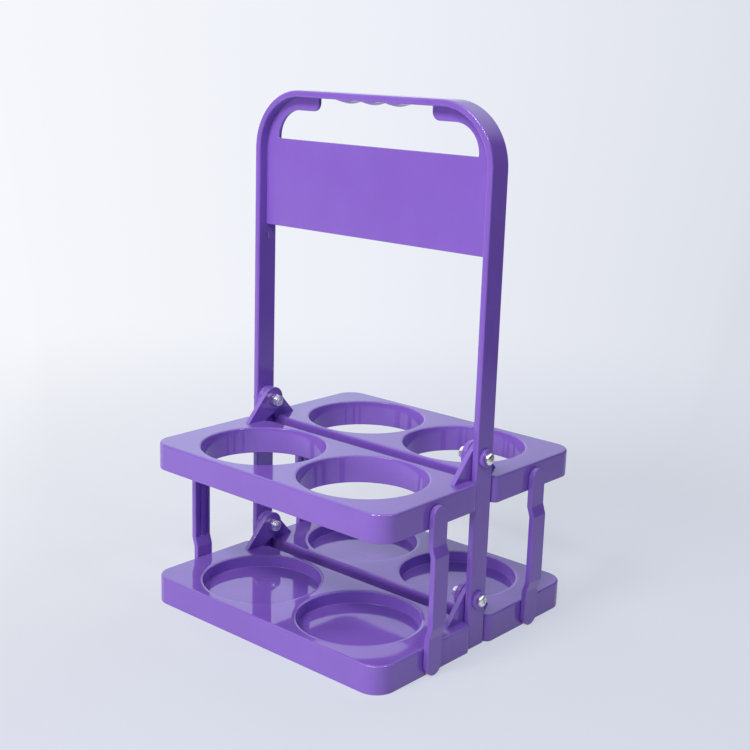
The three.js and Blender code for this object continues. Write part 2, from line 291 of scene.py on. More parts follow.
# Lamps: azimuth and elevation in degrees, distance and size in metres, power, shown in gloss
LAMPS = (
    ("key_lamp", -1, 44, 1.6, (0.5, 0.5), 12.6, True),
    ("near_lamp", 31, 43, 1.6, (0.3, 0.15), 6.8, True),
    ("low_lamp", -16, 7, 1.8, (0.7, 0.3), 9.6, False),
    ("side_lamp", 92, 46, 1.5, (0.2, 0.2), 2.1, True),
    ("back_lamp", 186, 8, 1.8, (0.8, 0.4), 14, False),
    ("left_lamp", -97, 8, 1.8, (0.8, 0.4), 11, False),
)
LAMP_AIM = (0, 0, 0.12)
LAMP_TINT = (1, 0.99, 0.95)

# Sizes that follow from the others
HALF_HANDLE = HANDLE_WIDTH / 2
LEG_INNER = HALF_HANDLE - BAR_THICKNESS
GRIP_UNDERSIDE = HANDLE_HEIGHT - BAR_THICKNESS
LEAF_SIDE = HALF_HANDLE + LEAF_PROUD
INNER_EDGE = LEAF_GAP / 2
NOTCH_EDGE = HANDLE_DEPTH / 2 + NOTCH_CLEARANCE
NOTCH_START = LEG_INNER - NOTCH_LENGTH
TRAY_HINGE = TRAY_TOP + HINGE_RISE
RACK_HINGE = TRAY_HINGE + RACK_SPACING
OUTER_EAR = LEG_INNER - HINGE_GAP
INNER_EAR = OUTER_EAR - EAR_THICKNESS - HINGE_GAP
NUT_SEAT = INNER_EAR - EAR_THICKNESS - HINGE_GAP
NUT_HEIGHT = NUT_HEX_HEIGHT + NUT_COLLAR_HEIGHT
BOSS_FACE = HALF_HANDLE + BOSS_HEIGHT
SCREW_SEAT = BOSS_FACE + SEAT_GAP
SCREW_LENGTH = SCREW_SEAT - NUT_SEAT + NUT_HEIGHT
RUNNING_RADIUS = SCREW_RADIUS + SCREW_CLEARANCE
RING_OUTER = SCREW_RADIUS + RING_CLEARANCE + RING_THICKNESS
NUT_POCKET = RING_OUTER + RING_CLEARANCE

# Layouts of a shell: its outline lies in (u, v) and its thickness along w
ALONG_X = Matrix(((0, 0, 1, 0), (1, 0, 0, 0), (0, 1, 0, 0), (0, 0, 0, 1)))
ALONG_Y = Matrix(((1, 0, 0, 0), (0, 0, -1, 0), (0, 1, 0, 0), (0, 0, 0, 1)))
ALONG_Z = Matrix.Identity(4)
HALF_TURN = Matrix.Rotation(math.pi, 4, "Z")


def moved(x, y, z):
    return Matrix.Translation((x, y, z))


# Outlines

def rounded(corners):
    """Outline of the corners (u, v, radius), anticlockwise, with arcs in small steps."""
    points = []
    for i, (u, v, radius) in enumerate(corners):
        here = Vector((u, v))
        back = (Vector(corners[i - 1][:2]) - here).normalized()
        ahead = (Vector(corners[(i + 1) % len(corners)][:2]) - here).normalized()
        if radius == 0:
            points.append(here)
            continue
        half = back.angle(ahead) / 2
        centre = here + (back + ahead).normalized() * radius / math.sin(half)
        start = here + back * radius / math.tan(half) - centre
        turn = math.copysign(math.pi - 2 * half, ahead.x * back.y - ahead.y * back.x)
        steps = max(LEAST_ARC_STEPS, math.ceil(abs(turn) / ARC_STEP))
        for k in range(steps + 1):
            points.append(centre + Matrix.Rotation(turn * k / steps, 2) @ start)
    return points


def both_sides(right):
    """Corners up the right half with their mirror images, from the lowest one on the left."""
    left = [(-u, v, radius) for u, v, radius in right]
    return left[:1] + right + left[:0:-1]


def round_hole(u, v, radius, steps=HOLE_STEPS):
    """A circle that runs clockwise, as the edge of a hole does."""
    angles = [-2 * math.pi * k / steps for k in range(steps)]
    return [Vector((u + radius * math.cos(a), v + radius * math.sin(a))) for a in angles]


def disc(u, v, radius, steps=HOLE_STEPS):
    return round_hole(u, v, radius, steps)[::-1]


def inset(loop, distance):
    """The loop moved to its left, into the material."""
    moved_loop = []
    for i, here in enumerate(loop):
        before = (here - loop[i - 1]).normalized()
        after = (loop[(i + 1) % len(loop)] - here).normalized()
        left = Vector((-before.y - after.y, before.x + after.x))
        moved_loop.append(here + left * distance / (1 + before.dot(after)))
    return moved_loop


def inside(point, loops):
    """True if the point lies within an odd number of the loops."""
    crossings = 0
    for loop in loops:
        for a, b in zip(loop, loop[1:] + loop[:1]):
            if (a.y > point.y) != (b.y > point.y):
                crossings += point.x < a.x + (point.y - a.y) * (b.x - a.x) / (b.y - a.y)
    return crossings % 2 == 1


# Levels: (inset, height) steps up a wall, with rounded edges

def quarter_turn():
    return [math.pi / 2 * k / EDGE_STEPS for k in range(EDGE_STEPS + 1)]


def bottom_edge(low, width, rise):
    steps = [(width * (1 - math.sin(a)), low + rise * (1 - math.cos(a))) for a in quarter_turn()]
    return [(width + FLAT_RIM, low)] + steps


def top_edge(high, width, fall):
    levels = reversed(bottom_edge(high, width, fall))
    return [(distance, 2 * high - height) for distance, height in levels]


def seat_edge(seat, radius):
    return [(-distance, height) for distance, height in bottom_edge(seat, radius, radius)]


def edged(low, low_edge, high, high_edge):
    return bottom_edge(low, *low_edge) + top_edge(high, *high_edge)


def rounded_sides(low, high, edge):
    return edged(low, (edge, edge), high, (edge, edge))


def drafted(levels, draft):
    """Walls that lean in by the draft from the top level to the bottom level."""
    low, high = levels[0][1], levels[-1][1]
    leans = [draft * (high - height) / (high - low) for _, height in levels]
    return [(distance - lean, height) for (distance, height), lean in zip(levels, leans)]


# Shells and other meshes

def skin(rings):
    """Faces between each ring of point numbers and the next."""
    faces = []
    for lower, upper in zip(rings, rings[1:]):
        for i in range(len(lower)):
            j = (i + 1) % len(lower)
            faces.append((lower[i], lower[j], upper[j], upper[i]))
    return faces


class Shell:
    """Rings of points at levels along w, and the faces between them."""

    def __init__(self):
        self.points = []
        self.faces = []

    def wall(self, loop, levels):
        """Skins the loop up through the levels, and gives back the lowest and the highest ring."""
        rings = []
        for distance, height in levels:
            start = len(self.points)
            self.points.extend((p.x, p.y, height) for p in inset(loop, distance))
            rings.append(range(start, len(self.points)))
        self.faces.extend(skin(rings))
        return rings[0], rings[-1]

    def fill(self, rings, upward):
        """Closes the flat region between the rings."""
        loops = [[Vector(self.points[i][:2]) for i in ring] for ring in rings]
        index = [i for ring in rings for i in ring]
        edges = []
        for ring in rings:
            first = len(edges)
            edges.extend((first + k, first + (k + 1) % len(ring)) for k in range(len(ring)))
        flat = [point for loop in loops for point in loop]
        points, _, faces, sources = delaunay_2d_cdt(flat, edges, [], 0, FILL_TOLERANCE)[:4]
        for a, b, c in faces:
            if inside((points[a] + points[b] + points[c]) / 3, loops):
                corners = [index[sources[k][0]] for k in (a, b, c)]
                self.faces.append(corners if upward else corners[::-1])

    def solid(self, walls):
        """A solid within walls of (loop, levels), with flat ends."""
        ends = [self.wall(loop, levels) for loop, levels in walls]
        self.fill([lowest for lowest, _ in ends], upward=False)
        self.fill([highest for _, highest in ends], upward=True)
        return self

    def rungs(self, ring, upward):
        """Closes a ring that is the same on both sides of v by faces from side to side."""
        count = len(ring)
        for i in range(count // 2 - 1):
            corners = (ring[i], ring[i + 1], ring[count - 2 - i], ring[count - 1 - i])
            self.faces.append(corners if upward else corners[::-1])

    def made(self, name, layout=ALONG_Z):
        return mesh_object(name, [layout @ Vector(point) for point in self.points], self.faces)


def new_object(name, data):
    made = bpy.data.objects.new(name, data)
    bpy.context.scene.collection.objects.link(made)
    return made


def mesh_object(name, points, faces):
    mesh = bpy.data.meshes.new(name)
    mesh.from_pydata([Vector(point) * MM for point in points], [], faces)
    return new_object(name, mesh)


def rounded_plate(outline, holes, low, high, edge):
    levels = rounded_sides(low, high, edge)
    return Shell().solid([(loop, levels) for loop in (outline, *holes)])


def plain_prism(outline, low, high, taper=0):
    """A cutting tool with sharp edges."""
    return Shell().solid([(outline, [(taper, low), (0, high)])])


def lofted(name, sections, ring=False):
    """A skin over sections of points, closed by flat ends or into a ring."""
    count = len(sections[0])
    rings = [range(i * count, (i + 1) * count) for i in range(len(sections))]
    faces = skin(rings + rings[:1] if ring else rings)
    if not ring:
        faces += [tuple(reversed(rings[0])), tuple(rings[-1])]
    return mesh_object(name, [point for section in sections for point in section], faces)


def turned(name, profile, ring=False):
    """A piece turned about X from a profile of (radius, x)."""
    angles = [2 * math.pi * k / TURN_STEPS for k in range(TURN_STEPS)]
    sections = []
    for radius, x in profile:
        sections.append([(x, radius * math.cos(a), radius * math.sin(a)) for a in angles])
    return lofted(name, sections, ring)


def rod(name, radius, low, high, y, z):
    return plain_prism(disc(y, z, radius, TURN_STEPS), low, high).made(name, ALONG_X)


# Joining, cutting and finishing

def baked(piece):
    """Turns the piece's modifiers into its mesh."""
    graph = bpy.context.evaluated_depsgraph_get()
    mesh = bpy.data.meshes.new_from_object(piece.evaluated_get(graph))
    piece.modifiers.clear()
    old = piece.data
    piece.data = mesh
    bpy.data.meshes.remove(old)
    return piece


def discard(pieces):
    for piece in pieces:
        mesh = piece.data
        bpy.data.objects.remove(piece)
        bpy.data.meshes.remove(mesh)


def combined(piece, tools, operation):
    for tool in tools:
        step = piece.modifiers.new(tool.name, "BOOLEAN")
        step.operation = operation
        step.object = tool
        step.solver = "MANIFOLD"
    baked(piece)
    discard(tools)
    return piece


def placed(piece, layout):
    """Puts the piece's place into its mesh."""
    scaled = layout.copy()
    scaled.translation *= MM
    piece.data.transform(scaled)
    return piece


def copied(piece, name, layout):
    return placed(new_object(name, piece.data.copy()), layout)


def smoothed(piece):
    """Smooth shading that keeps flat faces flat and real corners sharp."""
    weld = piece.modifiers.new("weld", "WELD")
    weld.merge_threshold = WELD_DISTANCE * MM
    baked(piece)
    piece.data.polygons.foreach_set("use_smooth", [True] * len(piece.data.polygons))
    piece.data.set_sharp_from_angle(angle=SMOOTH_ANGLE)
    normals = piece.modifiers.new("normals", "WEIGHTED_NORMAL")
    normals.keep_sharp = True
    return baked(piece)


def finished(piece, finish, body, slot, *nodes):
    piece.data.materials.clear()
    piece.data.materials.append(finish)
    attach(piece, body)
    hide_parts(*nodes)


# Node trees

def new_tree(kind, name, inputs, outputs):
    """An empty tree with named inputs and outputs, and the sockets of its input node."""
    tree = bpy.data.node_groups.new(name, kind)
    for way, sockets in (("INPUT", inputs), ("OUTPUT", outputs)):
        for label, socket in sockets.items():
            tree.interface.new_socket(label, in_out=way, socket_type="NodeSocket" + socket)
    return tree, tree.nodes.new("NodeGroupInput").outputs


def add_node(tree, kind, links=None, **settings):
    """A node with its settings, and its inputs set to values or linked from other nodes."""
    node = tree.nodes.new(kind)
    for setting, value in settings.items():
        setattr(node, setting, value)
    for socket, source in (links or {}).items():
        if isinstance(source, bpy.types.NodeSocket):
            tree.links.new(source, node.inputs[socket])
        else:
            node.inputs[socket].default_value = source
    return node


def result_of(tree, kind, links=None, **settings):
    return add_node(tree, kind, links, **settings).outputs[0]


def math_step(tree, operation, *values):
    return result_of(tree, "ShaderNodeMath", dict(enumerate(values)), operation=operation)


def vector_step(tree, operation, *values):
    """A step with vectors. SCALE takes a number, and LENGTH and DOT_PRODUCT give one."""
    sockets = (0, "Scale" if operation == "SCALE" else 1)
    step = add_node(tree, "ShaderNodeVectorMath", dict(zip(sockets, values)), operation=operation)
    return step.outputs["Value" if operation in ("LENGTH", "DOT_PRODUCT") else "Vector"]


def from_parts(tree, **parts):
    """A vector from those of its parts X, Y and Z that are given."""
    return result_of(tree, "ShaderNodeCombineXYZ", parts)


def floats(*labels):
    return {label: "Float" for label in labels}


def ended(tree, results):
    add_node(tree, "NodeGroupOutput", results)
    return tree


# Shapes that geometry nodes make

def shape_tree(name, inputs):
    """A tree for a shape, with the input for its finish."""
    inputs = {**inputs, "Finish": "Material"}
    return new_tree("GeometryNodeTree", name, inputs, {"Geometry": "Geometry"})


def end_tree(tree, given, geometry):
    """Ends a tree with real geometry that carries the finish."""
    real = result_of(tree, "GeometryNodeRealizeInstances", {"Geometry": geometry})
    coated = result_of(tree, "GeometryNodeSetMaterial", {
        "Geometry": real, "Material": given["Finish"]})
    return ended(tree, {"Geometry": coated})


def grown(tree, name, values):
    """The plain mesh that a tree gives for the values of its inputs. A pattern is used up."""
    piece = mesh_object(name, [], [])
    step = piece.modifiers.new(name, "NODES")
    step.node_group = tree
    for item in tree.interface.items_tree:
        if item.in_out == "INPUT":
            step[item.identifier] = values[item.name]
    baked(piece)
    discard([values["Pattern"]] if "Pattern" in values else [])
    return piece


def bar_sweep_tree():
    """A rounded flat bar swept along four points: up the left, across and down the right."""
    tree, given = shape_tree("bar_sweep", floats(
        "Span", "Height", "Corner Radius", "Bar Thickness", "Bar Depth", "Edge Radius"))
    count = 4
    middle = (count - 1) / 2
    top_reach = 0.6
    index = result_of(tree, "GeometryNodeInputIndex")
    on_right = math_step(tree, "GREATER_THAN", index, middle)
    side = math_step(tree, "SUBTRACT", on_right, 0.5)
    across = math_step(tree, "MULTIPLY", side, given["Span"])
    on_top = math_step(tree, "COMPARE", index, middle, top_reach)
    upward = math_step(tree, "MULTIPLY", on_top, given["Height"])
    place = from_parts(tree, X=across, Z=upward)
    line = result_of(tree, "GeometryNodeMeshLine", {"Count": count})
    bent = result_of(tree, "GeometryNodeSetPosition", {"Geometry": line, "Position": place})
    path = result_of(tree, "GeometryNodeMeshToCurve", {"Mesh": bent})
    path = result_of(tree, "GeometryNodeFilletCurve", {
        "Curve": path, "Count": HANDLE_CORNER_STEPS, "Radius": given["Corner Radius"]}, mode="POLY")
    section = result_of(tree, "GeometryNodeCurvePrimitiveQuadrilateral", {
        "Width": given["Bar Thickness"], "Height": given["Bar Depth"]})
    section = result_of(tree, "GeometryNodeFilletCurve", {
        "Curve": section, "Count": EDGE_STEPS, "Radius": given["Edge Radius"]}, mode="POLY")
    bar = result_of(tree, "GeometryNodeCurveToMesh", {
        "Curve": path, "Profile Curve": section, "Fill Caps": True})
    return end_tree(tree, given, bar)


def copies_at(tree, given, points, turn=(0, 0, 0)):
    """The pattern piece at each of the points."""
    info = add_node(tree, "GeometryNodeObjectInfo", {"Object": given["Pattern"]})
    return result_of(tree, "GeometryNodeInstanceOnPoints", {
        "Points": points, "Instance": info.outputs["Geometry"], "Rotation": turn})


def row_tree():
    """Copies of a pattern piece in a row along X, centred on the origin."""
    tree, given = shape_tree("row", {"Pattern": "Object", "Count": "Int", "Pitch": "Float"})
    gaps = math_step(tree, "SUBTRACT", given["Count"], 1)
    span = math_step(tree, "MULTIPLY", gaps, given["Pitch"])
    start = math_step(tree, "MULTIPLY", span, -0.5)
    line = result_of(tree, "GeometryNodeMeshLine", {
        "Count": given["Count"],
        "Start Location": from_parts(tree, X=start),
        "Offset": from_parts(tree, X=given["Pitch"])})
    return end_tree(tree, given, copies_at(tree, given, line))


def hinge_set_tree():
    """A pattern piece at each of the four hinges, turned to face outwards on both sides."""
    tree, given = shape_tree("hinge_set", {
        "Pattern": "Object", **floats("Seat Spread", "Hinge Spacing", "Lower Hinge")})
    grid = result_of(tree, "GeometryNodeMeshGrid", {
        "Size X": given["Seat Spread"], "Size Y": given["Hinge Spacing"],
        "Vertices X": 2, "Vertices Y": 2})
    half = math_step(tree, "MULTIPLY", given["Hinge Spacing"], 0.5)
    middle = math_step(tree, "ADD", half, given["Lower Hinge"])
    lift = from_parts(tree, Z=middle)
    upright = result_of(tree, "GeometryNodeTransform", {
        "Geometry": grid, "Translation": lift, "Rotation": (math.pi / 2, 0, 0)})
    place = result_of(tree, "GeometryNodeInputPosition")
    across = result_of(tree, "ShaderNodeSeparateXYZ", {0: place})
    on_left = math_step(tree, "LESS_THAN", across, 0)
    turn = math_step(tree, "MULTIPLY", on_left, math.pi)
    turn = from_parts(tree, Z=turn)
    return end_tree(tree, given, copies_at(tree, given, upright, turn))


def at_hinges(tree, pattern, name, seat, finish):
    """One mesh of the pattern at all four hinges."""
    return grown(tree, name, {
        "Pattern": pattern, "Seat Spread": 2 * seat * MM, "Hinge Spacing": RACK_SPACING * MM,
        "Lower Hinge": TRAY_HINGE * MM, "Finish": finish})


# Handle frame

def handle_bar(finish):
    return grown(bar_sweep_tree(), "handle_frame_moulding", {
        "Span": (HANDLE_WIDTH - BAR_THICKNESS) * MM,
        "Height": (HANDLE_HEIGHT - BAR_THICKNESS / 2) * MM,
        "Corner Radius": (HANDLE_CORNER - BAR_THICKNESS / 2) * MM,
        "Bar Thickness": BAR_THICKNESS * MM, "Bar Depth": HANDLE_DEPTH * MM,
        "Edge Radius": BAR_EDGE * MM, "Finish": finish})


def handle_web():
    """The panel and both corner webs in one plate, open under the grip."""
    side = HALF_HANDLE - BAR_THICKNESS / 2
    top = HANDLE_HEIGHT - BAR_THICKNESS / 2
    corner = HANDLE_CORNER - BAR_THICKNESS / 2
    hole_side = LEG_INNER - HAND_HOLE_MARGIN
    web_bottom = GRIP_UNDERSIDE - CORNER_WEB_HANG
    grip_end = GRIP_LENGTH / 2
    outline = rounded(both_sides([
        (side, PANEL_BOTTOM, 0),
        (side, top, corner),
        (grip_end, top, 0),
        (grip_end, web_bottom, CORNER_WEB_TIP),
        (hole_side, web_bottom, HAND_HOLE_CORNER),
        (hole_side, PANEL_TOP, PANEL_CORNER),
    ]))
    half = WEB_THICKNESS / 2
    return rounded_plate(outline, [], -half, half, WEB_EDGE).made("web", ALONG_Y)


def ridge_section(along):
    """Points (y, z) across the bar at a share of the ridge's length from its middle."""
    half = HANDLE_DEPTH / 2 - RIDGE_SINK
    swell = RIDGE_DROP * math.cos(math.pi * along) ** 2
    section = [(-half, GRIP_UNDERSIDE + BAR_THICKNESS / 2)]
    for k in range(RIDGE_STEPS + 1):
        share = 2 * k / RIDGE_STEPS - 1
        inward = half * (1 - abs(share)) / BAR_EDGE
        rise = BAR_EDGE * (1 - math.sqrt(1 - (1 - min(inward, 1)) ** 2))
        drop = swell * (1 - RIDGE_FALL * share * share)
        section.append((half * share, GRIP_UNDERSIDE + RIDGE_SINK - drop + rise))
    section.append((half, GRIP_UNDERSIDE + BAR_THICKNESS / 2))
    return section


def finger_ridges(finish):
    sections = []
    for k in range(RIDGE_STEPS + 1):
        along = k / RIDGE_STEPS - 0.5
        sections.append([(along * RIDGE_LENGTH, y, z) for y, z in ridge_section(along)])
    pattern = lofted("ridge", sections)
    return grown(row_tree(), "ridges", {
        "Pattern": pattern, "Count": RIDGE_COUNT, "Pitch": RIDGE_PITCH * MM, "Finish": finish})


def gate_mark(side):
    """A lens that leaves a shallow oval dent in a leg's inner face."""
    angles = [math.pi * k / LENS_STEPS for k in range(1, LENS_STEPS)]
    lens = turned("gate_mark", [(math.sin(angle), -math.cos(angle)) for angle in angles])
    shape = Matrix.Diagonal((GATE_MARK_DEPTH, GATE_MARK_WIDTH / 2, GATE_MARK_LENGTH / 2, 1))
    return placed(lens, moved(side * LEG_INNER, 0, GATE_MARK_HEIGHT) @ shape)


def handle_frame(finish, hinge_tree):
    outline = disc(0, 0, BOSS_RADIUS, TURN_STEPS)
    boss = rounded_plate(outline, [], -BAR_THICKNESS / 2, BOSS_HEIGHT, BOSS_EDGE)
    bosses = at_hinges(hinge_tree, boss.made("boss", ALONG_X), "bosses", HALF_HANDLE, finish)
    piece = combined(handle_bar(finish), [handle_web(), finger_ridges(finish), bosses], "UNION")
    far = BOSS_FACE + CUT_MARGIN
    bores = [rod("bore", RUNNING_RADIUS, -far, far, 0, z) for z in (TRAY_HINGE, RACK_HINGE)]
    combined(piece, bores + [gate_mark(-1), gate_mark(1)], "DIFFERENCE")
    finished(smoothed(piece), finish, "frame", "purple_plastic", "handle_frame")


# Leaves, made for the front with the hinge axis along X

def leaf_outline(wall=0):
    """The leaf's edge, or the edge of the hollow within its wall."""
    side, reach = LEAF_SIDE - wall, LEAF_REACH - wall
    notch, inner, step = NOTCH_EDGE + wall, INNER_EDGE + wall, NOTCH_START - wall
    step_corner, step_root = (0, 0) if wall else (STEP_CORNER, STEP_ROOT)
    return rounded(both_sides([
        (side, -reach, LEAF_CORNER - wall),
        (side, -notch, NOTCH_CORNER - wall),
        (step, -notch, step_root),
        (step, -inner, step_corner),
    ]))


def tangent_angle(y, z, radius, side):
    return math.atan2(z, y) + side * math.acos(radius / math.hypot(y, z))


def hinge_ear(low, high):
    root = -HINGE_RISE - PLATE_THICKNESS / 2
    first = tangent_angle(-INNER_EDGE, -HINGE_RISE, EAR_RADIUS, 1)
    last = tangent_angle(-EAR_FOOT, -HINGE_RISE, EAR_RADIUS, -1) + 2 * math.pi
    steps = math.ceil((last - first) / ARC_STEP)
    corners = [(-EAR_FOOT, root), (-INNER_EDGE, root), (-INNER_EDGE, -HINGE_RISE)]
    for k in range(steps + 1):
        angle = first + (last - first) * k / steps
        corners.append((EAR_RADIUS * math.cos(angle), EAR_RADIUS * math.sin(angle)))
    corners.append((-EAR_FOOT, -HINGE_RISE))
    outline = [Vector(corner) for corner in corners]
    bore = round_hole(0, 0, RUNNING_RADIUS, TURN_STEPS)
    return rounded_plate(outline, [bore], low, high, EAR_EDGE).made("ear", ALONG_X)


def cup_places():
    return [(side * CUP_PITCH / 2, -CUP_REACH) for side in (-1, 1)]


def rack_plate(bottom, top):
    """The rack's outside, with its two tapered holes."""
    levels = drafted(edged(bottom, HOLE_BOTTOM_EDGE, top, HOLE_RIM_EDGE), RACK_HOLE_DRAFT)
    walls = [(leaf_outline(), edged(bottom, LEAF_BOTTOM_EDGE, top, LEAF_TOP_EDGE))]
    walls += [(round_hole(x, y, RACK_HOLE_RADIUS), levels) for x, y in cup_places()]
    return Shell().solid(walls)


def tray_plate(bottom, top):
    """The tray's outside, with its two recesses and the pin mark in each."""
    shell = Shell()
    seat = top - TRAY_CUP_DEPTH
    sides = edged(bottom, LEAF_BOTTOM_EDGE, top, LEAF_TOP_EDGE)
    lowest, highest = shell.wall(leaf_outline(), sides)
    rims = [highest]
    levels = seat_edge(seat, SEAT_FILLET) + top_edge(top, *TRAY_RIM_EDGE)
    levels = drafted(levels, TRAY_CUP_DRAFT)
    mark_levels = [(-PIN_MARK_DEPTH, seat - PIN_MARK_DEPTH), (0, seat)]
    along, back = PIN_MARK_PLACE
    for x, y in cup_places():
        cup_floor, rim = shell.wall(round_hole(x, y, TRAY_CUP_RADIUS), levels)
        mark = round_hole(x + along, y + back, PIN_MARK_RADIUS, TURN_STEPS)
        mark_floor, mark_rim = shell.wall(mark, mark_levels)
        shell.fill([cup_floor, mark_rim], upward=True)
        shell.fill([mark_floor], upward=True)
        rims.append(rim)
    shell.fill([lowest], upward=False)
    shell.fill(rims, upward=True)
    return shell


def leaf(name, plate, bottom, top, cup_radius, cup_bottom):
    """A plate made hollow from below, with its ears and its peg holes."""
    piece = plate(bottom, top).made(name)
    room = plain_prism(leaf_outline(SKIRT_WALL), bottom - CUT_MARGIN, top - PLATE_THICKNESS)
    hollow = room.made("hollow")
    cups = [plain_prism(disc(x, y, cup_radius), cup_bottom, top) for x, y in cup_places()]
    combined(hollow, [cup.made("cup") for cup in cups], "DIFFERENCE")
    low, high = LEAF_SIDE - SKIRT_WALL - CUT_MARGIN, LEAF_SIDE + CUT_MARGIN
    tools = [hollow]
    for ends in ((low, high), (-high, -low)):
        tools.append(rod("peg_hole", PEG_RADIUS + PEG_CLEARANCE, *ends, -PEG_REACH, -PEG_DROP))
    combined(piece, tools, "DIFFERENCE")
    outer = hinge_ear(OUTER_EAR - EAR_THICKNESS, OUTER_EAR)
    inner = hinge_ear(-INNER_EAR, -INNER_EAR + EAR_THICKNESS)
    return smoothed(combined(piece, [outer, inner], "UNION"))


def leaves(finish):
    top = -HINGE_RISE
    bottom = top - RACK_SKIRT
    sleeve = RACK_HOLE_RADIUS + SLEEVE_WALL
    rack = leaf("rack", rack_plate, bottom, top, sleeve, bottom - 2 * CUT_MARGIN)
    cup = TRAY_CUP_RADIUS + TRAY_CUP_WALL
    cup_bottom = top - TRAY_CUP_DEPTH - TRAY_FLOOR
    tray = leaf("tray", tray_plate, top - TRAY_TOP, top, cup, cup_bottom)
    for side, turn in (("front", Matrix.Identity(4)), ("rear", HALF_TURN)):
        for pattern, level, kind, height in (
                (rack, "upper", "rack", RACK_HINGE), (tray, "lower", "tray", TRAY_HINGE)):
            piece = copied(pattern, f"{side}_{kind}_moulding", moved(0, 0, height) @ turn)
            finished(piece, finish, f"{side}_{kind}", "purple_plastic", f"{level}_{side}_{kind}")
    discard([rack, tray])


# Link bars, with the upper peg's axis along X and X outwards from the leaf's side

def soft_step(value):
    """Zero below zero and the value above, with a rounded bend."""
    if abs(value) >= LINK_BEND:
        return max(value, 0)
    return (value + LINK_BEND) ** 2 / (4 * LINK_BEND)


def link_jog(z):
    """How far the bar stands out at a height, between its two jogs."""
    past_start = min(-z, z + RACK_SPACING) - LINK_JOG_START
    rise = soft_step(past_start) - soft_step(past_start - LINK_JOG_LENGTH)
    return LINK_JOG * rise / LINK_JOG_LENGTH


def link_side():
    """One long edge of the bar, from the lower end to the upper end."""
    half = LINK_WIDTH / 2
    ends = (-RACK_SPACING - LINK_END + half, LINK_END - half)
    arc = [math.pi / 2 * (k + 0.5) / LINK_END_STEPS for k in range(LINK_END_STEPS)]
    lower = [Vector((half * math.sin(a), ends[0] - half * math.cos(a))) for a in arc]
    upper = [Vector((half * math.cos(a), ends[1] + half * math.sin(a))) for a in arc]
    bends = []
    for bend in (LINK_JOG_START, LINK_JOG_START + LINK_JOG_LENGTH):
        for k in range(-LINK_BEND_STEPS, LINK_BEND_STEPS + 1):
            z = bend + LINK_BEND * k / LINK_BEND_STEPS
            bends += [-z, z - RACK_SPACING]
    return lower + [Vector((half, z)) for z in sorted(bends)] + upper


def link_bar():
    shell = Shell()
    side = link_side()
    outline = side + [Vector((-p.x, p.y)) for p in reversed(side)]
    edge_in, edge_out = LINK_GAP, LINK_GAP + LINK_THICKNESS
    lowest, highest = shell.wall(outline, rounded_sides(edge_in, edge_out, LINK_EDGE))
    shell.rungs(lowest, upward=False)
    shell.rungs(highest, upward=True)
    shell.points = [(y, z, x + link_jog(z)) for y, z, x in shell.points]
    bar = shell.made("bar", ALONG_X)
    combined(bar, [link_groove(-1), link_groove(1)], "DIFFERENCE")
    return smoothed(combined(bar, [snap_peg(0), snap_peg(-RACK_SPACING)], "UNION"))


def link_groove(side):
    middle = side * (LINK_RIB_WIDTH + LINK_GROOVE_WIDTH) / 2
    half = LINK_GROOVE_WIDTH / 2
    end = LINK_JOG_START + LINK_JOG_LENGTH
    outline = rounded([
        (middle - half, end - RACK_SPACING, half / 2),
        (middle + half, end - RACK_SPACING, half / 2),
        (middle + half, -end, half / 2),
        (middle - half, -end, half / 2),
    ])
    return plain_prism(outline, 0, LINK_GAP + LINK_JOG + LINK_GROOVE_DEPTH).made("groove", ALONG_X)


def snap_peg(z):
    shoulder = -SKIRT_WALL - PEG_CLEARANCE
    tip = shoulder - PEG_HEAD_LENGTH
    peg = turned("peg", [
        (PEG_RADIUS - PEG_HEAD_OVERHANG, tip),
        (PEG_RADIUS + PEG_HEAD_OVERHANG, shoulder - PEG_HEAD_LENGTH / 4),
        (PEG_RADIUS + PEG_HEAD_OVERHANG, shoulder),
        (PEG_RADIUS, shoulder),
        (PEG_RADIUS, LINK_GAP + LINK_THICKNESS / 2),
    ])
    half = PEG_SLOT / 2
    reach = 2 * PEG_RADIUS
    outline = rounded(both_sides([(half, -reach, 0), (half, reach, 0)]))
    slot = plain_prism(outline, tip - CUT_MARGIN, 0).made("slot", ALONG_X)
    return placed(combined(peg, [slot], "DIFFERENCE"), moved(0, 0, z))


def link_bars(finish):
    pattern = link_bar()
    height = RACK_HINGE - PEG_DROP
    for side, forward in (("front", -1), ("rear", 1)):
        for hand, outward in (("left", -1), ("right", 1)):
            turn = Matrix.Identity(4) if outward > 0 else HALF_TURN
            place = moved(outward * LEAF_SIDE, forward * PEG_REACH, height) @ turn
            piece = copied(pattern, f"{side}_{hand}_link_moulding", place)
            finished(piece, finish, f"{side}_{hand}_bar", "purple_plastic", f"{side}_{hand}_link")
    discard([pattern])


# Hinge fasteners, with X outwards from the screw's seat or inwards from the nut's seat

